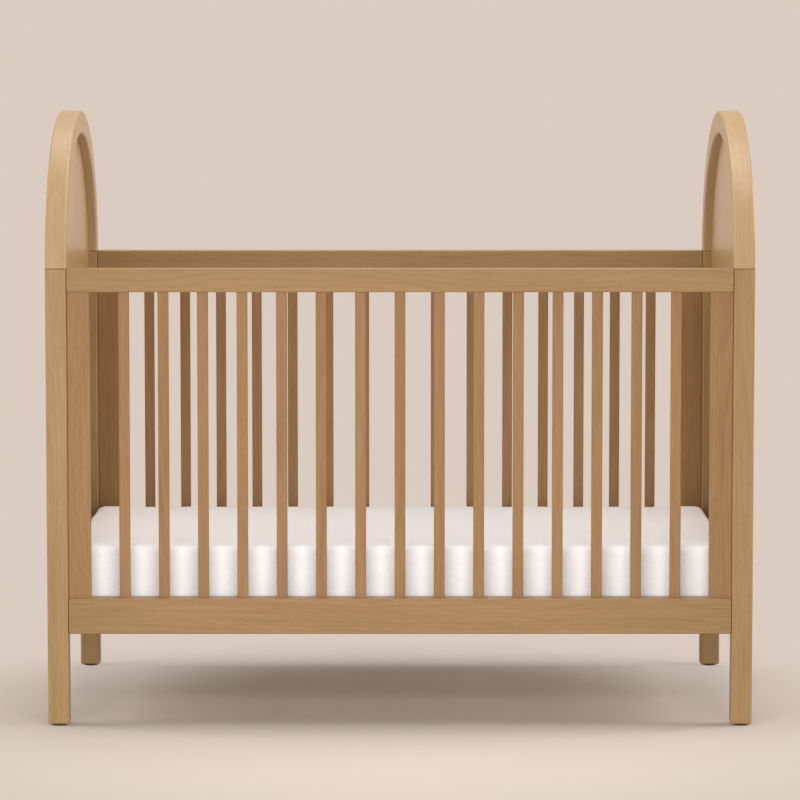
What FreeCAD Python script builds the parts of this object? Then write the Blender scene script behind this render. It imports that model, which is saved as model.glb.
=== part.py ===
import FreeCAD, Part
import math
import os

# A full-size baby crib with two arched solid ends and fixed slatted sides.
# X runs along the bed, Y across it (-Y is the front), Z is up, all in millimetres.
# The origin is on the floor, under the middle of the bed.

# Overall sizes
overall_length = 1380.0
overall_width = 786.0
overall_height = 1200.0

# Ends: two square posts, an arch on top, a panel in a groove, and a bottom rail
post_size = 41.0
post_top = 898.0             # where the arch stands on the posts
post_edge_radius = 3.5
foot_chamfer = 2.0
arch_crown_height = 46.0     # height of the arch's section at its highest point
arch_edge_radius = 3.5
joint_line_width = 1.0       # the shadow line cut round the top of each post
joint_line_depth = 1.0
panel_thickness = 12.0
panel_recess = 17.5          # from the posts' inner faces to the panel's inner face
groove_depth = 10.0
groove_play = 0.2            # all round the panel
groove_bolt_wall = 5.9       # wood left between the panel's groove and the bolt counterbores
end_rail_thickness = 24.0

# Sides: a top rail and a bottom rail between the posts, two stiles and the slats
rail_thickness = 36.0
rail_setback = 1.5           # from the outer faces of the posts
top_rail_height = 46.0
bottom_rail_height = 70.0
bottom_rail_base = 182.0     # floor to the underside of the bottom rails
rail_edge_radius = 3.0
stile_width = 44.0
stile_thickness = 20.0
slats_per_side = 15
slat_width = 21.0
slat_thickness = 13.0
slat_edge_radius = 2.0
tenon_length = 10.0
stile_tenon_width = 30.0
stile_tenon_thickness = 10.0
mortise_play = 0.15          # on each face of a tenon

# Mattress
mattress_thickness = 127.0
mattress_end_gap = 11.0      # from the panels
mattress_side_gap = 6.0      # from the posts or the rails, whichever are nearer
mattress_corner_radius = 50.0
mattress_edge_radius = 15.0

# Mattress support: two side bars, cross slats and four steel hook brackets
support_drop = 29.0          # from the top of the bottom rails to the top of the support
support_end_gap = 12.5       # from the end rails
support_bar_width = 30.0
support_bar_height = 26.0
support_slat_count = 13
support_slat_width = 60.0
support_slat_thickness = 12.0

# Height positions of the support
height_positions = 3
height_step = 100.0
hanger_height = 48.0         # from the top of the bottom rails to the lowest hanger bolt
bracket_leg_width = 30.0
bracket_ear_width = 26.0
bracket_thickness = 2.4
bracket_top_margin = 13.0    # plate above the hanger bolt
bracket_ear_gap = 4.0        # above the top of the end rails
bracket_panel_gap = 2.0
bracket_play = 0.3           # from the post, and round the bolt

# Hardware
bolt_radius = 3.0            # M6
bolt_hole_radius = 3.3
frame_bolt_length = 100.0
bolt_head_radius = 5.0
bolt_head_height = 6.0
bolt_head_rounding = 0.8
counterbore_radius = 5.6
counterbore_depth = 8.0
barrel_nut_radius = 5.0
barrel_nut_length = 16.0
barrel_nut_inset = 60.0      # from the end of the rail
bolt_hole_margin = 3.0       # past the end of the bolt
hanger_head_radius = 7.0
hanger_head_height = 4.4
hanger_head_rounding = 1.5
insert_radius = 5.0
insert_length = 12.0
insert_setback = 1.5         # below the face of the post, for a flush cap
cap_plug_length = 5.0
thread_play = 0.05
dowel_radius = 4.0
dowel_length = 40.0
rail_dowel_in_post = 15.0
top_bolt_height = 16.0       # above the underside of the top rail
top_dowel_height = 33.0
side_dowel_margin = 1.0      # under the stile's tenon in the bottom rail
end_dowel_margin = 4.0       # under the panel's groove in the end rail
arch_dowel_edge = 9.5        # from the post's inner and outer faces
arch_dowel_margin = 1.5      # beyond the dowels of the top rail
groove_dowel_margin = 5.0    # beyond the panel's groove
socket_radius = 2.3          # hexagon socket, to its corners
socket_depth = 2.6
screw_radius = 2.0
screw_head_radius = 4.0
screw_head_depth = 2.0
slat_screw_length = 25.0
bracket_screw_length = 20.0
bracket_screw_spacing = 18.0
bracket_screw_height = 7.0   # above the underside of the side bar
glide_thickness = 4.0
glide_radius = 15.0
glide_spigot_radius = 4.0
glide_spigot_length = 15.0

# Places worked out from the sizes above
half_length = overall_length / 2
half_width = overall_width / 2
post_inner_x = half_length - post_size
post_inner_y = half_width - post_size
post_x = half_length - post_size / 2
post_y = half_width - post_size / 2
panel_inner_x = post_inner_x + panel_recess
panel_x = panel_inner_x + panel_thickness / 2
arch_rise = overall_height - post_top
opening_rise = arch_rise - arch_crown_height
rail_outer_y = half_width - rail_setback
rail_inner_y = rail_outer_y - rail_thickness
rail_y = (rail_outer_y + rail_inner_y) / 2
clear_half_width = min(post_inner_y, rail_inner_y)
bolt_y = post_inner_y + groove_depth + groove_bolt_wall + counterbore_radius
top_rail_base = post_top - top_rail_height
bottom_rail_top = bottom_rail_base + bottom_rail_height
stile_x = post_inner_x - stile_width / 2
slat_run = 2 * (post_inner_x - stile_width)
slat_pitch = (slat_run + slat_width) / (slats_per_side + 1)
first_slat_x = -slat_pitch * (slats_per_side - 1) / 2
support_top = bottom_rail_top - support_drop
support_half_length = panel_x - end_rail_thickness / 2 - support_end_gap
support_half_width = clear_half_width - bracket_play - bracket_thickness
hanger_x = (post_inner_x + panel_inner_x) / 2
bar_top = support_top - support_slat_thickness
bar_base = bar_top - support_bar_height
first_hanger_z = bottom_rail_top + hanger_height
insert_mouth = post_inner_y + insert_setback
insert_end = insert_mouth + insert_length
bolt_seat_x = half_length - counterbore_depth
bolt_end_x = bolt_seat_x - frame_bolt_length
top_bolt_z = top_rail_base + top_bolt_height
top_dowel_z = top_rail_base + top_dowel_height
bottom_bolt_z = bottom_rail_base + bottom_rail_height / 2
side_dowel_offset = bottom_rail_height / 2 - tenon_length - dowel_radius - side_dowel_margin
end_dowel_offset = bottom_rail_height / 2 - groove_depth - dowel_radius - end_dowel_margin

X_AXIS = FreeCAD.Vector(1, 0, 0)
Y_AXIS = FreeCAD.Vector(0, 1, 0)
Z_AXIS = FreeCAD.Vector(0, 0, 1)
ORIGIN = FreeCAD.Vector(0, 0, 0)
ENDS = {"left": -1, "right": 1}
SIDES = {"front": -1, "rear": 1}


def point(x, y, z):
    return FreeCAD.Vector(x, y, z)


def block(x_span, y_span, z_span):
    """A box between two values on each axis."""
    corner = point(x_span[0], y_span[0], z_span[0])
    return Part.makeBox(x_span[1] - x_span[0], y_span[1] - y_span[0], z_span[1] - z_span[0], corner)


def rod(radius, start, end):
    """A round bar or hole from one point to another."""
    direction = end - start
    return Part.makeCylinder(radius, direction.Length, start, direction)


def hexagon(radius, start, end):
    """A six-sided bar from one point to another, for the sockets of bolts."""
    direction = (end - start).normalize()
    side = direction.cross(Z_AXIS if abs(direction.z) < 0.5 else X_AXIS)
    up = direction.cross(side)
    turns = [math.radians(60 * i) for i in range(7)]
    corners = [start + side * (radius * math.cos(t)) + up * (radius * math.sin(t)) for t in turns]
    return Part.Face(Part.makePolygon(corners)).extrude(end - start)


def round_along(solid, radius, direction):
    """Round the straight edges that run along a direction."""
    edges = []
    for edge in solid.Edges:
        span = edge.Vertexes[-1].Point - edge.Vertexes[0].Point
        if span.Length > 0 and span.normalize().cross(direction).Length < 1e-6:
            edges.append(edge)
    return solid.makeFillet(radius, edges)


def to_corner(shape, end, side):
    """Mirror what is built at the right rear to any other corner."""
    if ENDS[end] < 0:
        shape = shape.mirror(ORIGIN, X_AXIS)
    if SIDES[side] < 0:
        shape = shape.mirror(ORIGIN, Y_AXIS)
    return shape


def at_all_corners(shape):
    return [to_corner(shape, end, side) for end in ENDS for side in SIDES]


def half_ellipse(reach, rise):
    """The top half of an ellipse over the posts, from the rear to the front."""
    centre = point(0, 0, post_top)
    rear = point(0, reach, post_top)
    front = point(0, -reach, post_top)
    crown = point(0, 0, post_top + rise)
    if reach >= rise:
        return Part.ArcOfEllipse(Part.Ellipse(rear, crown, centre), 0, math.pi).toShape()
    return Part.ArcOfEllipse(Part.Ellipse(crown, front, centre), -math.pi / 2, math.pi / 2).toShape()


def arch_plate(reach, rise, thickness):
    """A half ellipse as a plate that stands on the joint line, centred on the end panel."""
    arc = half_ellipse(reach, rise)
    base = Part.makeLine(arc.Vertexes[-1].Point, arc.Vertexes[0].Point)
    plate = Part.Face(Part.Wire([arc, base])).extrude(X_AXIS * thickness)
    plate.translate(X_AXIS * (panel_x - thickness / 2))
    return plate


def dowel_hole(start, direction, depth):
    """A dowel hole of a given depth, a little longer and wider than what goes in it."""
    return rod(dowel_radius + thread_play, start - direction * 0.5, start + direction * (depth + 1.0))


def arch_dowel_places():
    """The two dowels between a post and its arch: one outside the top rail's dowel, and one
    between the panel's groove and the post's outer corner."""
    outside_rail_dowel = rail_y + 2 * dowel_radius + arch_dowel_margin
    beyond_groove = post_inner_y + groove_depth + dowel_radius + groove_dowel_margin
    return [(post_inner_x + arch_dowel_edge, outside_rail_dowel),
            (half_length - arch_dowel_edge, beyond_groove)]


def post():
    """The right rear post, with its panel groove and all its bolt, dowel and insert holes."""
    def column(inset, base, top):
        square = block((post_inner_x + inset, half_length - inset),
                       (post_inner_y + inset, half_width - inset), (base, top))
        return round_along(square, post_edge_radius, Z_AXIS)

    line_base = post_top - joint_line_width
    body = column(0, glide_thickness, line_base)
    foot = [edge for edge in body.Edges if edge.BoundBox.ZMax < glide_thickness + 0.01]
    body = body.makeChamfer(foot_chamfer, foot)
    body = body.fuse(column(joint_line_depth, line_base, post_top)).removeSplitter()

    groove_half = panel_thickness / 2 + groove_play
    cuts = [block((panel_x - groove_half, panel_x + groove_half),
                  (post_inner_y - 1, post_inner_y + groove_depth),
                  (bottom_rail_top - groove_depth, post_top + 1))]
    for z in (top_bolt_z, bottom_bolt_z):
        cuts.append(rod(bolt_hole_radius, point(post_inner_x - 1, bolt_y, z), point(half_length, bolt_y, z)))
        cuts.append(rod(counterbore_radius, point(bolt_seat_x, bolt_y, z), point(half_length + 1, bolt_y, z)))
    for z in [top_dowel_z] + bottom_dowel_heights():
        cuts.append(dowel_hole(point(post_inner_x, rail_y, z), X_AXIS, rail_dowel_in_post))
    for z in end_dowel_heights():
        cuts.append(dowel_hole(point(panel_x, post_inner_y, z), Y_AXIS, dowel_length / 2))
    for x, y in arch_dowel_places():
        cuts.append(dowel_hole(point(x, y, post_top), -Z_AXIS, dowel_length / 2))
    for z in hanger_heights():
        cuts.append(rod(insert_radius + thread_play, point(hanger_x, post_inner_y - 1, z),
                        point(hanger_x, insert_end, z)))
    cuts.append(rod(glide_spigot_radius + thread_play, point(post_x, post_y, glide_thickness - 1),
                    point(post_x, post_y, glide_thickness + glide_spigot_length + 1)))
    return body.cut(cuts)


def bottom_dowel_heights():
    return [bottom_bolt_z - side_dowel_offset, bottom_bolt_z + side_dowel_offset]


def end_dowel_heights():
    return [bottom_bolt_z - end_dowel_offset, bottom_bolt_z + end_dowel_offset]


def arch():
    """The right arch: a half-ellipse ring as thick as the posts, grooved for the panel."""
    ring = arch_plate(half_width, arch_rise, post_size)
    ring = ring.cut(arch_plate(post_inner_y, opening_rise, post_size + 2))
    ring.translate(X_AXIS * (post_x - panel_x))
    curved = [edge for edge in ring.Edges if edge.BoundBox.ZMax > post_top + 1]
    ring = ring.makeFillet(arch_edge_radius, curved)
    groove = arch_plate(post_inner_y + groove_depth, opening_rise + groove_depth,
                        panel_thickness + 2 * groove_play)
    cuts = [groove]
    for x, y in arch_dowel_places():
        for side in (1, -1):
            cuts.append(dowel_hole(point(x, side * y, post_top), Z_AXIS, dowel_length / 2))
    return ring.cut(cuts)


def end_panel():
    """The right end panel, held in grooves in the posts, the arch and the end rail."""
    held = groove_depth - groove_play
    top = arch_plate(post_inner_y + held, opening_rise + held, panel_thickness)
    body = block((panel_inner_x, panel_inner_x + panel_thickness),
                 (-post_inner_y - held, post_inner_y + held), (bottom_rail_top - held, post_top))
    return top.fuse(body).removeSplitter()


def end_rail():
    """The right end rail, under the panel and between the two posts."""
    half = end_rail_thickness / 2
    body = block((panel_x - half, panel_x + half), (-post_inner_y, post_inner_y),
                 (bottom_rail_base, bottom_rail_top))
    body = round_along(body, rail_edge_radius, Y_AXIS)
    groove_half = panel_thickness / 2 + groove_play
    cuts = [block((panel_x - groove_half, panel_x + groove_half), (-post_inner_y - 1, post_inner_y + 1),
                  (bottom_rail_top - groove_depth, bottom_rail_top + 1))]
    for z in end_dowel_heights():
        for side in (1, -1):
            start = point(panel_x, side * post_inner_y, z)
            cuts.append(dowel_hole(start, Y_AXIS * -side, dowel_length / 2))
    return body.cut(cuts)


def slat_places():
    return [first_slat_x + slat_pitch * i for i in range(slats_per_side)]


def side_rail(base, top, mortise_z, bolt_z, dowel_heights):
    """A rear side rail with mortises for the slats and stiles, and holes at both ends."""
    body = block((-post_inner_x, post_inner_x), (rail_inner_y, rail_outer_y), (base, top))
    body = round_along(body, rail_edge_radius, X_AXIS)

    def mortise(x, width, thickness):
        half_x = width / 2 + mortise_play
        half_y = thickness / 2 + mortise_play
        return block((x - half_x, x + half_x), (rail_y - half_y, rail_y + half_y), mortise_z)

    cuts = [mortise(x, slat_width, slat_thickness) for x in slat_places()]
    for end in (1, -1):
        inward = X_AXIS * -end
        face = end * post_inner_x
        cuts.append(mortise(end * stile_x, stile_tenon_width, stile_tenon_thickness))
        cuts.append(rod(bolt_hole_radius, point(face + end, bolt_y, bolt_z),
                        point(end * (bolt_end_x - bolt_hole_margin), bolt_y, bolt_z)))
        nut_x = face - end * barrel_nut_inset
        cuts.append(rod(barrel_nut_radius + thread_play, point(nut_x, bolt_y, base - 1),
                        point(nut_x, bolt_y, bolt_z + barrel_nut_length / 2)))
        for z in dowel_heights:
            cuts.append(dowel_hole(point(face, rail_y, z), inward, dowel_length - rail_dowel_in_post))
    return body.cut(cuts)


def top_rail():
    span = (top_rail_base - 1, top_rail_base + tenon_length + mortise_play)
    return side_rail(top_rail_base, post_top, span, top_bolt_z, [top_dowel_z])


def bottom_rail():
    span = (bottom_rail_top - tenon_length - mortise_play, bottom_rail_top + 1)
    return side_rail(bottom_rail_base, bottom_rail_top, span, bottom_bolt_z, bottom_dowel_heights())


def hanger_heights():
    return [first_hanger_z + height_step * i for i in range(height_positions)]


def stile():
    """The right rear stile, tenoned into both rails."""
    body = block((stile_x - stile_width / 2, stile_x + stile_width / 2),
                 (rail_y - stile_thickness / 2, rail_y + stile_thickness / 2),
                 (bottom_rail_top, top_rail_base))
    body = round_along(body, slat_edge_radius, Z_AXIS)
    tenon = block((stile_x - stile_tenon_width / 2, stile_x + stile_tenon_width / 2),
                  (rail_y - stile_tenon_thickness / 2, rail_y + stile_tenon_thickness / 2),
                  (bottom_rail_top - tenon_length, top_rail_base + tenon_length))
    return body.fuse(tenon)


def slat(x):
    """A rear slat, whose full section goes into both rails."""
    body = block((x - slat_width / 2, x + slat_width / 2),
                 (rail_y - slat_thickness / 2, rail_y + slat_thickness / 2),
                 (bottom_rail_top - tenon_length, top_rail_base + tenon_length))
    return round_along(body, slat_edge_radius, Z_AXIS)


def mattress():
    half_x = panel_inner_x - mattress_end_gap
    half_y = clear_half_width - mattress_side_gap
    body = block((-half_x, half_x), (-half_y, half_y), (support_top, support_top + mattress_thickness))
    body = round_along(body, mattress_corner_radius, Z_AXIS)
    rims = [edge for edge in body.Edges if edge.BoundBox.ZLength < 0.01]
    return body.makeFillet(mattress_edge_radius, rims)


def screw(head, direction, length):
    """A countersunk wood screw: its flat head's centre, the way it is driven, and its length."""
    cone = Part.makeCone(screw_head_radius, screw_radius, screw_head_depth, head, direction)
    return cone.fuse(rod(screw_radius, head + direction * screw_head_depth, head + direction * length))


def screw_cut(head, direction, length):
    """The countersunk hole for a screw."""
    play = thread_play
    cone = Part.makeCone(screw_head_radius + play, screw_radius + play, screw_head_depth, head, direction)
    return cone.fuse(rod(screw_radius + play, head, head + direction * (length + 1.0)))


def support_slat_places():
    first = -support_half_length + support_slat_width / 2
    step = -2 * first / (support_slat_count - 1)
    return [first + step * i for i in range(support_slat_count)]


def slat_screw_heads():
    """One screw at each end of each cross slat, down into the side bar."""
    bar_y = support_half_width - support_bar_width / 2
    return [point(x, side * bar_y, support_top) for x in support_slat_places() for side in (1, -1)]


def bracket_screw_heads():
    """Two screws through the right rear bracket into the end of the side bar."""
    x = support_half_length - bracket_leg_width / 2
    y = support_half_width + bracket_thickness
    z = bar_base + bracket_screw_height
    return [point(x + side * bracket_screw_spacing / 2, y, z) for side in (1, -1)]


def support_bar():
    """The rear side bar of the mattress support."""
    body = block((-support_half_length, support_half_length),
                 (support_half_width - support_bar_width, support_half_width), (bar_base, bar_top))
    cuts = [screw_cut(head, -Z_AXIS, slat_screw_length) for head in slat_screw_heads() if head.y > 0]
    for head in bracket_screw_heads():
        mirrored = point(-head.x, head.y, head.z)
        cuts.append(screw_cut(head, -Y_AXIS, bracket_screw_length))
        cuts.append(screw_cut(mirrored, -Y_AXIS, bracket_screw_length))
    return body.cut(cuts)


def support_slats():
    """The cross slats that carry the mattress, screwed down on the side bars."""
    cuts = [screw_cut(head, -Z_AXIS, slat_screw_length) for head in slat_screw_heads()]
    slats = []
    for x in support_slat_places():
        body = block((x - support_slat_width / 2, x + support_slat_width / 2),
                     (-support_half_width, support_half_width), (bar_top, support_top))
        slats.append(round_along(body, slat_edge_radius, Y_AXIS).cut(cuts))
    return slats


def bracket():
    """The right rear hook bracket: a flat plate with a leg screwed to the side bar, and an ear
    over the end rail with a slot, open below, that drops over the hanger bolt."""
    leg_outer = support_half_length
    leg_inner = leg_outer - bracket_leg_width
    ear_outer = panel_inner_x - bracket_panel_gap
    ear_inner = ear_outer - bracket_ear_width
    ear_base = bottom_rail_top + bracket_ear_gap
    top = first_hanger_z + bracket_top_margin
    outline = [(leg_inner, bar_base), (leg_outer, bar_base), (leg_outer, ear_base), (ear_outer, ear_base),
               (ear_outer, top), (ear_inner, top), (leg_inner, top - (ear_inner - leg_inner))]
    corners = [point(x, support_half_width, z) for x, z in outline]
    plate = Part.Face(Part.makePolygon(corners + corners[:1])).extrude(Y_AXIS * bracket_thickness)

    slot = bolt_radius + bracket_play
    across = (support_half_width - 1, support_half_width + bracket_thickness + 1)
    cuts = [rod(slot, point(hanger_x, across[0], first_hanger_z), point(hanger_x, across[1], first_hanger_z)),
            block((hanger_x - slot, hanger_x + slot), across, (ear_base - 1, first_hanger_z))]
    cuts += [screw_cut(head, -Y_AXIS, bracket_screw_length) for head in bracket_screw_heads()]
    return plate.cut(cuts)


def support_screws():
    """All the wood screws of the support."""
    screws = [screw(head, -Z_AXIS, slat_screw_length) for head in slat_screw_heads()]
    for head in bracket_screw_heads():
        screws += at_all_corners(screw(head, -Y_AXIS, bracket_screw_length))
    return screws


def hanger_bolt():
    """The right rear bolt that the bracket hangs on, in the post's lowest insert."""
    z = first_hanger_z
    head_outer = support_half_width - bracket_play
    head_inner = head_outer - hanger_head_height
    head = rod(hanger_head_radius, point(hanger_x, head_inner, z), point(hanger_x, head_outer, z))
    rim = [edge for edge in head.Edges if edge.BoundBox.YMax < head_inner + 0.01]
    head = head.makeFillet(hanger_head_rounding, rim)
    shank = rod(bolt_radius, point(hanger_x, head_outer, z), point(hanger_x, insert_end - 1, z))
    socket = hexagon(socket_radius, point(hanger_x, head_inner - 0.5, z),
                     point(hanger_x, head_inner + socket_depth, z))
    return head.fuse(shank).cut(socket)


def height_inserts():
    """Threaded brass inserts in the right rear post, one for each height."""
    inserts = []
    for z in hanger_heights():
        mouth = point(hanger_x, insert_mouth, z)
        end = point(hanger_x, insert_end, z)
        inserts.append(rod(insert_radius, mouth, end).cut(rod(bolt_radius + thread_play, mouth, end)))
    return inserts


def insert_caps():
    """Flush caps over the inserts of the right rear post that no hanger bolt is in."""
    caps = []
    for z in hanger_heights()[1:]:
        face = point(hanger_x, post_inner_y, z)
        mouth = point(hanger_x, insert_mouth, z)
        plug = rod(bolt_radius, mouth, mouth + Y_AXIS * cap_plug_length)
        caps.append(rod(insert_radius, face, mouth).fuse(plug))
    return caps


def frame_bolt(z):
    """A bolt from the outer face of the right rear post into the side rail's barrel nut."""
    head_end = point(bolt_seat_x + bolt_head_height, bolt_y, z)
    head = rod(bolt_head_radius, point(bolt_seat_x, bolt_y, z), head_end)
    rim = [edge for edge in head.Edges if edge.BoundBox.XMin > head_end.x - 0.01]
    head = head.makeFillet(bolt_head_rounding, rim)
    shank = rod(bolt_radius, point(bolt_end_x, bolt_y, z), point(bolt_seat_x, bolt_y, z))
    socket = hexagon(socket_radius, head_end - X_AXIS * socket_depth, head_end + X_AXIS * 0.5)
    return head.fuse(shank).cut(socket)


def barrel_nut(z):
    """The cross nut in the right end of the rear rail, with a screwdriver slot in its lower end."""
    x = post_inner_x - barrel_nut_inset
    low = z - barrel_nut_length / 2
    body = rod(barrel_nut_radius, point(x, bolt_y, low), point(x, bolt_y, low + barrel_nut_length))
    thread = rod(bolt_radius + thread_play, point(x - 10, bolt_y, z), point(x + 10, bolt_y, z))
    slot = block((x - 6, x + 6), (bolt_y - 0.8, bolt_y + 0.8), (low - 1, low + 1.5))
    return body.cut([thread, slot])


def wood_dowels():
    """Every dowel at the right rear corner: rails to post, end rail to post, arch to post."""
    dowels = []
    for z in [top_dowel_z] + bottom_dowel_heights():
        start = point(post_inner_x + rail_dowel_in_post, rail_y, z)
        dowels.append(rod(dowel_radius, start, start - X_AXIS * dowel_length))
    for z in end_dowel_heights():
        start = point(panel_x, post_inner_y + dowel_length / 2, z)
        dowels.append(rod(dowel_radius, start, start - Y_AXIS * dowel_length))
    for x, y in arch_dowel_places():
        start = point(x, y, post_top - dowel_length / 2)
        dowels.append(rod(dowel_radius, start, start + Z_AXIS * dowel_length))
    return dowels


def leg_glide():
    """The nylon glide under the right rear post: a disc with a spigot in the foot."""
    disc = rod(glide_radius, point(post_x, post_y, 0), point(post_x, post_y, glide_thickness))
    rim = [edge for edge in disc.Edges if edge.BoundBox.ZMax < 0.01]
    disc = disc.makeFillet(1.0, rim)
    spigot = rod(glide_spigot_radius, point(post_x, post_y, glide_thickness),
                 point(post_x, post_y, glide_thickness + glide_spigot_length))
    return disc.fuse(spigot)


def everywhere(solids):
    """Repeat a list of right rear pieces at all four corners."""
    return [copy for solid in solids for copy in at_all_corners(solid)]


def build():
    """Every node of the crib, by name."""
    nodes = {}
    for side in SIDES:
        for end in ENDS:
            nodes[f"{side}_{end}_post"] = to_corner(post(), end, side)
            nodes[f"{side}_{end}_stile"] = to_corner(stile(), end, side)
        nodes[f"{side}_top_rail"] = to_corner(top_rail(), "right", side)
        nodes[f"{side}_bottom_rail"] = to_corner(bottom_rail(), "right", side)
        for number, x in enumerate(slat_places(), start=1):
            nodes[f"{side}_slat_{number:02d}"] = to_corner(slat(x), "right", side)
    for end in ENDS:
        nodes[f"{end}_arch"] = to_corner(arch(), end, "rear")
        nodes[f"{end}_end_panel"] = to_corner(end_panel(), end, "rear")
        nodes[f"{end}_end_rail"] = to_corner(end_rail(), end, "rear")
    nodes["mattress"] = mattress()

    groups = {
        "support_bars": [to_corner(support_bar(), "right", side) for side in SIDES],
        "support_slats": support_slats(),
        "support_brackets": everywhere([bracket()]),
        "support_screws": support_screws(),
        "hanger_bolts": everywhere([hanger_bolt()]),
        "height_inserts": everywhere(height_inserts()),
        "insert_caps": everywhere(insert_caps()),
        "frame_bolts": everywhere([frame_bolt(top_bolt_z), frame_bolt(bottom_bolt_z)]),
        "barrel_nuts": everywhere([barrel_nut(top_bolt_z), barrel_nut(bottom_bolt_z)]),
        "wood_dowels": everywhere(wood_dowels()),
        "leg_glides": everywhere([leg_glide()]),
    }
    for name, solids in groups.items():
        nodes[name] = Part.makeCompound(solids)
    return nodes


os.makedirs("parts", exist_ok=True)
for node_name, shape in build().items():
    shape.exportStep(f"parts/{node_name}.step")
    print(f"{node_name}: {len(shape.Solids)} solid(s), valid {shape.isValid()}")
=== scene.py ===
import math
import bmesh
import bpy
import numpy as np
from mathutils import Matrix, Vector, noise


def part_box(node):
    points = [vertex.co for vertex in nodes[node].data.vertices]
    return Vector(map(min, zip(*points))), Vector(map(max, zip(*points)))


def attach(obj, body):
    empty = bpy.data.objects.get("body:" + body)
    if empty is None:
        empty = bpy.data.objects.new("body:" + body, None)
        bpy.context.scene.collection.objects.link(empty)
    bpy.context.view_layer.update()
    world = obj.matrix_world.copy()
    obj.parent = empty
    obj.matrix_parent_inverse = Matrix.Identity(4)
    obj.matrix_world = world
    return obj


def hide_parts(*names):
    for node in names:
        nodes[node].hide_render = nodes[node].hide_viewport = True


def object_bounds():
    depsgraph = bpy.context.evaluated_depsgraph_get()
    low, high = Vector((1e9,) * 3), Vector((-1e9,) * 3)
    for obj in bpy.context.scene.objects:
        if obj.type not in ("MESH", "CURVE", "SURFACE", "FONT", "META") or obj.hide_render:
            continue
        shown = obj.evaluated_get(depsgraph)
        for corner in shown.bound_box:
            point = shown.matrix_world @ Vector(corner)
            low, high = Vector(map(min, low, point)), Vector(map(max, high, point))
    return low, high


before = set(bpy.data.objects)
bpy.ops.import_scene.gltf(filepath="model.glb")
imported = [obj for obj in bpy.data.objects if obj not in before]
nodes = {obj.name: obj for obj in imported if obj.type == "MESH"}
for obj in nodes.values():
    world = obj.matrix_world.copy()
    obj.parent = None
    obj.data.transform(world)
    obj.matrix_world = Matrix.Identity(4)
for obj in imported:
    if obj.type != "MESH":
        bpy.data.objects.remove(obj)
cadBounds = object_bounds()
scene = bpy.context.scene
scene.view_settings.view_transform = "Standard"
print("frame loaded:", len(nodes), "nodes")


# Helpers

def linear(hexColour):
    # sRGB hex to the linear values that Blender works in
    values = [int(hexColour[i:i + 2], 16) / 255 for i in (1, 3, 5)]
    return [v / 12.92 if v <= 0.04045 else ((v + 0.055) / 1.055) ** 2.4 for v in values] + [1.0]


def addNode(tree, kind, settings=None, links=None):
    # settings are node properties, ramp stops or input values, links are the sockets to take inputs from
    node = tree.nodes.new(kind)
    for name, value in (settings or {}).items():
        if name == "stops":
            elements = node.color_ramp.elements
            while len(elements) < len(value):
                elements.new(0.5)
            for element, (place, grey) in zip(elements, value):
                element.position = place
                element.color = (grey, grey, grey, 1.0)
        elif isinstance(name, str) and hasattr(node, name):
            setattr(node, name, value)
        else:
            node.inputs[name].default_value = value
    for name, socket in (links or {}).items():
        tree.links.new(socket, node.inputs[name])
    return node


def newMaterial(name, settings):
    # settings are values for the shader's own sockets
    material = bpy.data.materials.new(name)
    material.use_nodes = True
    tree = material.node_tree
    shader = tree.nodes["Principled BSDF"]
    for socket, value in settings.items():
        shader.inputs[socket].default_value = value
    return material, tree, shader


def giveMaterial(thing, material):
    thing.data.materials.clear()
    thing.data.materials.append(material)


def linkObject(name, data):
    thing = bpy.data.objects.new(name, data)
    scene.collection.objects.link(thing)
    return thing


# Camera: eye level just above the arches, looking a little down

cameraSetup = {
    "distance": 7.2,          # metres from the front of the crib
    "height": 1.273,
    "pitch": 5.007,           # degrees down
    "lens": 167.08,
}


def makeCamera(setup):
    data = bpy.data.cameras.new("studioCamera")
    data.lens = setup["lens"]
    data.clip_end = 200
    camera = linkObject("studioCamera", data)
    camera.location = (0, cadBounds[0].y - setup["distance"], setup["height"])
    camera.rotation_euler = (math.radians(90 - setup["pitch"]), 0, 0)
    scene.camera = camera


makeCamera(cameraSetup)
print("camera placed")


# Oak, planed and sanded, under a clear satin lacquer: soft growth-ring bands, darker streaks
# along the board, short fine pores, and a pale sheen at a low angle

woodLook = {
    "light": "#AB8E64",
    "dark": "#8C6F49",
    "pore": "#614E30",
    "joint": "#3A2611",       # the shadow in a joint
    "ringSpacing": 5.5,       # mm between growth rings
    "ringStops": ((0.0, 0.25), (0.55, 0.42), (0.88, 0.85), (1.0, 0.3)),    # light wood, then a dark edge
    "streakWidth": 3.0,       # mm; drawn wider than the real rays so that they show
    "streakLength": 110.0,
    "patchSize": (45.0, 380.0),   # mm across and along
    "fibreSize": (1.1, 60.0),
    "bendSize": (70.0, 520.0),
    "bend": 9.0,              # how far slow waves bend the rings
    "poreWidth": 0.7,         # mm; real pores are 0.3 mm, drawn coarser so that they show
    "poreLength": 14.0,
    "poreStops": ((0.0, 0.0), (0.66, 0.0), (0.74, 0.55), (1.0, 0.8)),
    "boardShift": (7.3, 11.9, 31.7),    # metres, how far apart two boards are cut
    "tone": 0.42,             # 0 is the light colour, 1 the dark one
    "toneWeights": {"rings": 0.34, "streaks": 0.8, "patches": 0.7, "fibres": 0.45, "board": 0.16},
    "roughness": 0.42,
    "specular": 0.25,
    "coat": 0.04,             # the lacquer film
    "coatRoughness": 0.3,
    "relief": 0.0003,         # metres
    "jointAxis": None,        # where a painted joint shadow runs round the end of the board
    "jointPlace": 0.0,        # metres from the origin
}
# how wide the painted joint shadow is, in metres
jointShadowWidth = {"post": 0.0013, "rail": 0.0012}
postLook = dict(woodLook, jointAxis="Z", jointPlace=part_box("front_left_post")[1].z - jointShadowWidth["post"])
railLook = dict(woodLook, light="#A4855E", dark="#856A45", pore="#60482C",
                jointAxis="X", jointPlace=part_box("front_top_rail")[1].x - jointShadowWidth["rail"])
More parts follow.
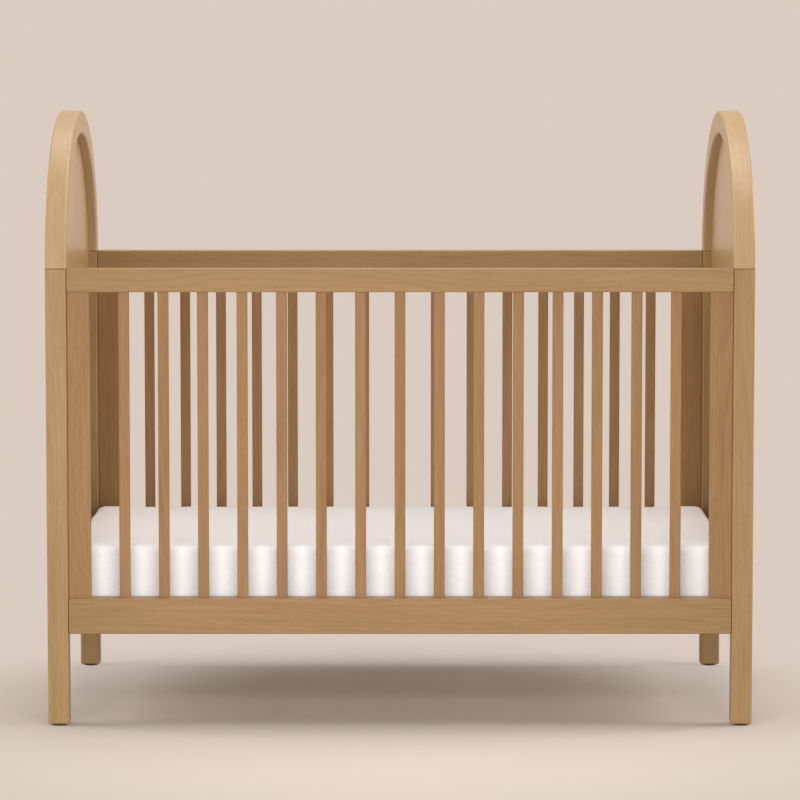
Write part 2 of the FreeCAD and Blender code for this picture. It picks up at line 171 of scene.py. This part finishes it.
# slats and stiles: the oak drawn darker, as painted shade for boards set back under the rails and inside the
# crib
slatShadedLook = dict(woodLook, light="#A17E59", dark="#81613E", pore="#604627", streakWidth=2.4, coat=0.0)
archLook = dict(woodLook, light="#BA9C74", dark="#9F835E", pore="#725A3A", specular=0.4, coat=0.1)
panelLook = dict(woodLook, light="#BC9763", dark="#A08050", pore="#72572F",
                 specular=0.5, roughness=0.36, coat=0.4)


def archCoordinates(tree, axes):
    # the arch is half an ellipse: squashed to a circle, its grain runs round it
    low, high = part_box("left_arch")
    halfWidth = (high.y - low.y) / 2
    squash = halfWidth / (high.z - low.z)
    rise = addNode(tree, "ShaderNodeMath", {"operation": "SUBTRACT", 1: low.z}, {0: axes["Z"]})
    tall = addNode(tree, "ShaderNodeMath", {"operation": "MULTIPLY", 1: squash}, {0: rise.outputs[0]})
    flat = addNode(tree, "ShaderNodeCombineXYZ", links={"X": axes["Y"], "Y": tall.outputs[0]})
    radius = addNode(tree, "ShaderNodeVectorMath", {"operation": "LENGTH"}, {0: flat.outputs[0]})
    turn = addNode(tree, "ShaderNodeMath", {"operation": "ARCTAN2"}, {0: tall.outputs[0], 1: axes["Y"]})
    along = addNode(tree, "ShaderNodeMath", {"operation": "MULTIPLY", 1: halfWidth}, {0: turn.outputs[0]})
    return {"X": axes["X"], "Y": radius.outputs["Value"], "Z": along.outputs[0]}


def boardCoordinates(tree, grain):
    # two coordinates across the board and one along its grain, in metres
    place = addNode(tree, "ShaderNodeTexCoord").outputs["Object"]
    axes = addNode(tree, "ShaderNodeSeparateXYZ", links={0: place}).outputs
    if grain == "arch":
        return addNode(tree, "ShaderNodeCombineXYZ", links=archCoordinates(tree, axes)).outputs[0]
    across = {"X": ("Y", "Z"), "Y": ("X", "Z"), "Z": ("X", "Y")}[grain]
    return addNode(tree, "ShaderNodeCombineXYZ",
                   links={"X": axes[across[0]], "Y": axes[across[1]], "Z": axes[grain]}).outputs[0]


def grainNoise(tree, place, size, detail, roughness=0.5):
    # noise whose features are this wide and this long, in mm
    width, length = size
    scale = (1000 / width, 1000 / width, 1000 / length)
    drawn = addNode(tree, "ShaderNodeVectorMath", {"operation": "MULTIPLY", 1: scale}, {0: place})
    return addNode(tree, "ShaderNodeTexNoise", {"Scale": 1.0, "Detail": detail, "Roughness": roughness},
                   {"Vector": drawn.outputs[0]})


def growthRings(tree, place, look):
    # bands across the board, bent by slow waves along it
    spacing = look["ringSpacing"]
    scale = (1000 / spacing, 1000 / spacing, 1000 / (spacing * 60))
    straight = addNode(tree, "ShaderNodeVectorMath", {"operation": "MULTIPLY", 1: scale}, {0: place})
    slow = grainNoise(tree, place, look["bendSize"], 2.0)
    bend = addNode(tree, "ShaderNodeVectorMath", {"operation": "SCALE", "Scale": look["bend"]},
                   {0: slow.outputs["Color"]})
    bent = addNode(tree, "ShaderNodeVectorMath", {"operation": "ADD"},
                   {0: straight.outputs[0], 1: bend.outputs[0]})
    rings = addNode(tree, "ShaderNodeTexWave",
                    {"wave_type": "BANDS", "bands_direction": "DIAGONAL", "wave_profile": "SAW",
                     "Scale": 0.32, "Distortion": 1.2, "Detail": 2.0, "Detail Scale": 0.6},
                    {"Vector": bent.outputs[0]})
    return addNode(tree, "ShaderNodeValToRGB", {"stops": look["ringStops"]},
                   {"Fac": rings.outputs["Fac"]}).outputs[0]


def paintJointShadow(tree, colour, look):
    # painted shadow: a dark line round the end of the board, where the joint's gap lies
    place = addNode(tree, "ShaderNodeTexCoord").outputs["Object"]
    axes = addNode(tree, "ShaderNodeSeparateXYZ", links={0: place}).outputs
    reach = addNode(tree, "ShaderNodeMath", {"operation": "ABSOLUTE"}, {0: axes[look["jointAxis"]]})
    inJointShadow = addNode(tree, "ShaderNodeMath", {"operation": "GREATER_THAN", 1: look["jointPlace"]},
                      {0: reach.outputs[0]})
    return addNode(tree, "ShaderNodeMix", {"data_type": "RGBA", 7: linear(look["joint"])},
                   {0: inJointShadow.outputs[0], 6: colour.outputs[2]})


def makeWood(name, grain, look):
    material, tree, shader = newMaterial(name, {
        "Specular IOR Level": look["specular"], "Coat Weight": look["coat"],
        "Coat Roughness": look["coatRoughness"]})
    # every board is cut from another part of the tree
    board = addNode(tree, "ShaderNodeObjectInfo").outputs["Random"]
    shift = addNode(tree, "ShaderNodeVectorMath", {"operation": "SCALE", 0: look["boardShift"]},
                    {"Scale": board})
    place = addNode(tree, "ShaderNodeVectorMath", {"operation": "ADD"},
                    {0: boardCoordinates(tree, grain), 1: shift.outputs[0]}).outputs[0]

    streaks = grainNoise(tree, place, (look["streakWidth"], look["streakLength"]), 3.0, 0.6)
    parts = {
        "rings": growthRings(tree, place, look),
        "streaks": streaks.outputs["Fac"],
        "patches": grainNoise(tree, place, look["patchSize"], 2.0).outputs["Fac"],
        "fibres": grainNoise(tree, place, look["fibreSize"], 2.0).outputs["Fac"],
        "board": board,
    }
    weights = look["toneWeights"]
    tone = None
    for part, socket in parts.items():
        settings = {"operation": "MULTIPLY_ADD", 1: weights[part]}
        if tone is None:
            settings[2] = look["tone"] - sum(weights.values()) / 2    # each part swings about 0.5
            tone = addNode(tree, "ShaderNodeMath", settings, {0: socket}).outputs[0]
        else:
            tone = addNode(tree, "ShaderNodeMath", settings, {0: socket, 2: tone}).outputs[0]
    tone = addNode(tree, "ShaderNodeClamp", links={0: tone}).outputs[0]
    body = addNode(tree, "ShaderNodeMix",
                   {"data_type": "RGBA", 6: linear(look["light"]), 7: linear(look["dark"])}, {0: tone})

    poreNoise = grainNoise(tree, place, (look["poreWidth"], look["poreLength"]), 1.0)
    pores = addNode(tree, "ShaderNodeValToRGB", {"stops": look["poreStops"]},
                    {"Fac": poreNoise.outputs["Fac"]})
    colour = addNode(tree, "ShaderNodeMix", {"data_type": "RGBA", 7: linear(look["pore"])},
                     {0: pores.outputs[0], 6: body.outputs[2]})
    if look["jointAxis"]:
        colour = paintJointShadow(tree, colour, look)
    tree.links.new(colour.outputs[2], shader.inputs["Base Color"])

    gloss = addNode(tree, "ShaderNodeMapRange", {3: look["roughness"] - 0.06, 4: look["roughness"] + 0.08},
                    {0: parts["streaks"]})
    tree.links.new(gloss.outputs[0], shader.inputs["Roughness"])
    height = addNode(tree, "ShaderNodeMath", {"operation": "SUBTRACT"},
                     {0: parts["fibres"], 1: pores.outputs[0]})
    bump = addNode(tree, "ShaderNodeBump", {"Strength": 0.25, "Distance": look["relief"]},
                   {"Height": height.outputs[0]})
    tree.links.new(bump.outputs[0], shader.inputs["Normal"])
    return material


def dressFrame():
    # part of a node's name, then its material, the way its grain runs, and its look
    boards = {
        "_post": ("lacqueredOakPost", "Z", postLook),
        "_arch": ("lacqueredOakArch", "arch", archLook),
        "_end_panel": ("lacqueredOakPanel", "Z", panelLook),
        "_end_rail": ("lacqueredOakEndRail", "Y", woodLook),
        "_top_rail": ("lacqueredOakRail", "X", railLook),
        "_bottom_rail": ("lacqueredOakRail", "X", railLook),
        "_stile": ("lacqueredOakSlatShaded", "Z", slatShadedLook),
        "_slat_": ("lacqueredOakSlatShaded", "Z", slatShadedLook),
    }
    made = {}
    for part, (materialName, grain, look) in boards.items():
        if materialName not in made:
            made[materialName] = makeWood(materialName, grain, look)
        for name, thing in nodes.items():
            if part in name:
                giveMaterial(thing, made[materialName])


dressFrame()
print("oak frame dressed")


# Pine, sanded and unfinished: paler than the oak, wider rings and no gloss

supportLook = dict(woodLook, light="#DDBE93", dark="#BD986A", pore="#8F6C45", roughness=0.62, coat=0.0,
                   ringSpacing=8.0)

hardwareLook = {
    # zinc plate: a dull bright grey with a faint yellow cast
    "zincPlatedSteel": {"nodes": ("support_screws", "hanger_bolts", "frame_bolts", "barrel_nuts"),
                        "colour": "#9A978E", "roughness": 0.4, "metallic": 1.0},
    # brass, turned: warm yellow and clear highlights
    "turnedBrass": {"nodes": ("height_inserts",), "colour": "#C9A453", "roughness": 0.3, "metallic": 1.0},
    # powder coat: a soft white with a fine orange peel
    "powderCoatedSteel": {"nodes": ("support_brackets",), "colour": "#E7E4DC",
                          "roughness": 0.5, "metallic": 0.0},
    # moulded ABS, coloured to go with the oak
    "oakColouredPlastic": {"nodes": ("insert_caps",), "colour": "#A67A4F",
                           "roughness": 0.5, "metallic": 0.0},
    # nylon, moulded: dark brown and dull
    "mouldedNylon": {"nodes": ("leg_glides",), "colour": "#3A2A1C", "roughness": 0.55, "metallic": 0.0},
}


def makeHardware(name, look):
    material, tree, shader = newMaterial(name, {
        "Base Color": linear(look["colour"]), "Metallic": look["metallic"]})
    place = addNode(tree, "ShaderNodeTexCoord").outputs["Object"]
    spots = addNode(tree, "ShaderNodeTexNoise", {"Scale": 900.0, "Detail": 3.0}, {"Vector": place})
    gloss = addNode(tree, "ShaderNodeMapRange", {3: look["roughness"] - 0.07, 4: look["roughness"] + 0.07},
                    {0: spots.outputs["Fac"]})
    tree.links.new(gloss.outputs[0], shader.inputs["Roughness"])
    bump = addNode(tree, "ShaderNodeBump", {"Strength": 0.1, "Distance": 0.0001},
                   {"Height": spots.outputs["Fac"]})
    tree.links.new(bump.outputs[0], shader.inputs["Normal"])
    return material


def dressSupport():
    giveMaterial(nodes["support_bars"], makeWood("sandedPineX", "X", supportLook))
    pineAcross = makeWood("sandedPineY", "Y", supportLook)
    giveMaterial(nodes["support_slats"], pineAcross)
    giveMaterial(nodes["wood_dowels"], pineAcross)
    for materialName, look in hardwareLook.items():
        material = makeHardware(materialName, look)
        for name in look["nodes"]:
            giveMaterial(nodes[name], material)


dressSupport()
print("support and hardware dressed")


# Mattress: a foam core in a white woven cotton cover, matt and slightly fuzzy, with a soft edge
# and a flat underside

mattressLook = {
    "cover": "#EFF0F3",
    "thread": "#DCDCDF",
    "threadPitch": 1.3,       # mm; real threads are finer, drawn coarser so that they show
    "roughness": 0.88,
    "sheen": 0.25,
    "cornerRadius": 26.0,     # mm
    "edgeRadius": 7.0,
    "voxel": 10.0,
    "pressure": 4.0,
    "steps": 20,
    "swell": 4.0,             # mm, the furthest that the cover may bulge
    "ripple": 0.9,            # mm, unevenness of the cover
    "rippleScales": (9.0, 26.0),
}


def roundedBlock(name, low, high, cornerRadius, edgeRadius):
    mesh = bmesh.new()
    bmesh.ops.create_cube(mesh, size=1.0)
    middle = (low + high) / 2
    for vert in mesh.verts:
        vert.co = Vector(vert.co[i] * (high[i] - low[i]) + middle[i] for i in range(3))
    upright = [edge for edge in mesh.edges if abs(edge.verts[0].co.z - edge.verts[1].co.z) > 0.01]
    bmesh.ops.bevel(mesh, geom=upright, offset=cornerRadius, segments=8, profile=0.5, affect="EDGES")
    rims = [edge for edge in mesh.edges if abs(edge.verts[0].co.z - edge.verts[1].co.z) < 1e-6]
    bmesh.ops.bevel(mesh, geom=rims, offset=edgeRadius, segments=4, profile=0.5, affect="EDGES")
    data = bpy.data.meshes.new(name)
    mesh.to_mesh(data)
    mesh.free()
    return linkObject(name, data)


def evaluated(thing):
    depsgraph = bpy.context.evaluated_depsgraph_get()
    return bpy.data.meshes.new_from_object(thing.evaluated_get(depsgraph))


def applyModifiers(thing):
    mesh = evaluated(thing)
    thing.modifiers.clear()
    thing.data = mesh


def coordinates(mesh):
    flat = np.empty(len(mesh.vertices) * 3)
    mesh.vertices.foreach_get("co", flat)
    return flat.reshape(-1, 3)


def setCoordinates(mesh, places):
    mesh.vertices.foreach_set("co", places.ravel())
    mesh.update()


def remesh(thing, voxel):
    modifier = thing.modifiers.new("remesh", "REMESH")
    modifier.mode = "VOXEL"
    modifier.voxel_size = voxel
    smooth = thing.modifiers.new("smooth", "SMOOTH")
    smooth.factor = 0.5
    smooth.iterations = 2
    applyModifiers(thing)


def edgeDistance(places, low, high, radius):
    # how far each point is inside the rounded outline, seen from above
    half = (high - low) / 2 - radius
    middle = (high + low) / 2
    beyond = np.abs(places[:, :2] - middle[:2]) - half[:2]
    outside = np.hypot(np.maximum(beyond[:, 0], 0), np.maximum(beyond[:, 1], 0))
    return radius - outside - np.minimum(np.maximum(beyond[:, 0], beyond[:, 1]), 0)


def rippleCover(places, inside, fromTop, fromBottom, edge, look):
    # the cover isn't quite even, on top and a little less on its sides
    ripple = look["ripple"] / 1000
    broad, fine = look["rippleScales"]
    for index, point in enumerate(places):
        wave = noise.noise(Vector(point) * broad) + 0.5 * noise.noise(Vector(point) * fine)
        if fromBottom[index] > edge:
            places[index, 2] += wave * ripple * (1.0 if fromTop[index] < edge else 0.0)
            if inside[index] < edge:
                away = point[:2] / (np.linalg.norm(point[:2]) + 1e-9)
                places[index, :2] += away * wave * ripple * 0.7


def fillCover(thing, pinned, look):
    # the cover swells under a little pressure, held along its seams
    group = thing.vertex_groups.new(name="seams")
    for index in np.nonzero(pinned)[0]:
        group.add([int(index)], 1.0, "REPLACE")
    cloth = thing.modifiers.new("filling", "CLOTH")
    cloth.settings.quality = 5
    cloth.settings.use_pressure = True
    cloth.settings.uniform_pressure_force = look["pressure"]
    cloth.settings.effector_weights.gravity = 0
    cloth.settings.vertex_group_mass = "seams"
    cloth.point_cache.frame_start = 1
    cloth.point_cache.frame_end = look["steps"]
    for step in range(1, look["steps"] + 1):
        scene.frame_set(step)
    mesh = evaluated(thing)
    scene.frame_set(1)
    thing.modifiers.clear()
    thing.vertex_groups.clear()
    start = coordinates(thing.data)
    move = coordinates(mesh) - start
    length = np.linalg.norm(move, axis=1, keepdims=True) + 1e-9
    swell = look["swell"] / 1000
    return start + move / length * swell * np.tanh(length / swell)


def makeCover(look):
    material, tree, shader = newMaterial("wovenCottonCover", {
        "Roughness": look["roughness"], "Specular IOR Level": 0.2,
        "Sheen Weight": look["sheen"], "Sheen Roughness": 0.5})
    place = addNode(tree, "ShaderNodeTexCoord").outputs["Object"]
    waveScale = math.pi / 10 * 1000 / look["threadPitch"]    # one band of the wave for each thread
    threads = None
    for axis in ("X", "Y", "Z"):
        wave = addNode(tree, "ShaderNodeTexWave",
                       {"bands_direction": axis, "Scale": waveScale, "Distortion": 0.6, "Detail Scale": 2.0},
                       {"Vector": place}).outputs["Fac"]
        threads = wave if threads is None else addNode(
            tree, "ShaderNodeMath", {"operation": "MULTIPLY"}, {0: threads, 1: wave}).outputs[0]
    slubs = addNode(tree, "ShaderNodeTexNoise", {"Scale": 220.0, "Detail": 2.0}, {"Vector": place})
    shade = addNode(tree, "ShaderNodeMapRange", {1: 0.3, 2: 0.7, 3: 0.0, 4: 0.3}, {0: slubs.outputs["Fac"]})
    colour = addNode(tree, "ShaderNodeMix",
                     {"data_type": "RGBA", 6: linear(look["cover"]), 7: linear(look["thread"])},
                     {0: shade.outputs[0]})
    tree.links.new(colour.outputs[2], shader.inputs["Base Color"])
    bump = addNode(tree, "ShaderNodeBump", {"Strength": 0.35, "Distance": 0.0003}, {"Height": threads})
    tree.links.new(bump.outputs[0], shader.inputs["Normal"])
    return material


def makeMattress(look):
    swell = look["swell"] / 1000
    corner = look["cornerRadius"] / 1000
    edge = look["edgeRadius"] / 1000
    low, high = [np.array(place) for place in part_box("mattress")]
    low = low + np.array((0, swell, 0))
    high = high - np.array((0, swell, 0))
    thing = roundedBlock("mattressCover", Vector(low), Vector(high), corner, edge)
    remesh(thing, look["voxel"] / 1000)

    places = coordinates(thing.data)
    inside = edgeDistance(places, low, high, corner)
    fromTop = high[2] - places[:, 2]
    fromBottom = places[:, 2] - low[2]
    rippleCover(places, inside, fromTop, fromBottom, edge, look)
    setCoordinates(thing.data, places)

    topSeam = (inside < edge * 0.75) & (fromTop < edge * 0.75)
    underside = fromBottom < edge * 0.6
    places = fillCover(thing, topSeam | underside, look)
    places[:, 2] = np.maximum(places[:, 2], low[2])
    setCoordinates(thing.data, places)
    finer = thing.modifiers.new("finer", "SUBSURF")
    finer.levels = 1
    finer.render_levels = 1
    applyModifiers(thing)
    for face in thing.data.polygons:
        face.use_smooth = True
    giveMaterial(thing, makeCover(look))
    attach(thing, "mattress")
    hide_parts("mattress")


makeMattress(mattressLook)
print("mattress made")


# Stage and light

stageLook = {
    "floor": "#C9C0B8",
    "wall": "#DACCC0",
    "size": 60.0,             # metres, from the middle to the edge
    "fadeCentre": -0.25,      # where the floor melts into the wall, in metres
    "fadeStart": 0.45,
    "fadeEnd": 1.2,
    "fadeWidth": 1.1,         # wider than deep
    "ambient": 0.30,          # how much of the wall's light reaches the crib
    "floorGlow": 0.25,
}

# place, aim, size across and up in metres, watts, and whether it shows in the lacquer
lightSetup = {
    "overheadBox": ((0.1, 0.2, 2.8), (0, 0.1, 0.4), (2.6, 1.4), 41, True),
    "frontBox": ((-0.1, -2.5, 0.8), (0, 0, 0.6), (2.8, 1.3), 60, False),
    "leftBox": ((-3.0, -0.1, 2.1), (0, 0, 0.8), (1.6, 1.6), 42, True),
    "rightBox": ((3.0, 0.0, 2.1), (0, 0, 0.8), (1.6, 1.6), 48, True),
    "lowLeftBox": ((-2.6, -0.4, 0.45), (0, 0, 0.1), (1.2, 0.8), 11, True),
    "lowRightBox": ((2.6, -0.2, 0.45), (0, 0, 0.1), (1.2, 0.8), 20, True),
    "rearBox": ((0.0, 3.0, 1.5), (0, 0, 0.6), (2.2, 1.2), 22, False),
}
lightColour = "#FFFCFA"


def diffuseShare(tree, share):
    # full strength to the eye and in reflections, and this share of it as light on the crib
    rays = addNode(tree, "ShaderNodeLightPath")
    return addNode(tree, "ShaderNodeMath", {"operation": "MULTIPLY_ADD", 1: share - 1.0, 2: 1.0},
                   {0: rays.outputs["Is Diffuse Ray"]}).outputs[0]


def makeFloor(look):
    reach = look["size"]
    mesh = bpy.data.meshes.new("studioFloor")
    mesh.from_pydata([(-reach, -reach, 0), (reach, -reach, 0), (reach, reach, 0), (-reach, reach, 0)],
                     [], [(0, 1, 2, 3)])
    floor = linkObject("studioFloor", mesh)
    # painted plaster, matt, which melts into an even glow of the wall's colour further from the crib
    material, tree, shader = newMaterial("paintedPlaster", {
        "Base Color": linear(look["floor"]), "Roughness": 0.9, "Specular IOR Level": 0.1})
    place = addNode(tree, "ShaderNodeTexCoord").outputs["Object"]
    squashed = addNode(tree, "ShaderNodeVectorMath",
                       {"operation": "MULTIPLY_ADD", 1: (1 / look["fadeWidth"], 1.0, 0.0),
                        2: (0.0, -look["fadeCentre"], 0.0)}, {0: place})
    away = addNode(tree, "ShaderNodeVectorMath", {"operation": "LENGTH"}, {0: squashed.outputs[0]})
    fade = addNode(tree, "ShaderNodeMapRange",
                   {"interpolation_type": "SMOOTHSTEP", 1: look["fadeStart"], 2: look["fadeEnd"]},
                   {0: away.outputs["Value"]})
    glow = addNode(tree, "ShaderNodeEmission", {"Color": linear(look["wall"])},
                   {"Strength": diffuseShare(tree, look["floorGlow"])})
    mixed = addNode(tree, "ShaderNodeMixShader",
                    links={0: fade.outputs[0], 1: shader.outputs[0], 2: glow.outputs[0]})
    tree.links.new(mixed.outputs[0], tree.nodes["Material Output"].inputs["Surface"])
    giveMaterial(floor, material)


def makeAir(look):
    world = bpy.data.worlds.new("studioAir")
    world.use_nodes = True
    scene.world = world
    sky = world.node_tree.nodes["Background"]
    sky.inputs["Color"].default_value = linear(look["wall"])
    world.node_tree.links.new(diffuseShare(world.node_tree, look["ambient"]), sky.inputs["Strength"])


def addLight(name, place, aim, size, power, inReflections):
    data = bpy.data.lights.new(name, "AREA")
    data.shape = "RECTANGLE"
    data.size, data.size_y = size
    data.energy = power
    data.color = linear(lightColour)[:3]
    light = linkObject(name, data)
    light.location = place
    light.rotation_euler = (Vector(aim) - Vector(place)).to_track_quat("-Z", "Y").to_euler()
    light.visible_camera = False
    light.visible_glossy = inReflections


makeFloor(stageLook)
makeAir(stageLook)
for lightName, settings in lightSetup.items():
    addLight(lightName, *settings)
print("stage and lights placed")
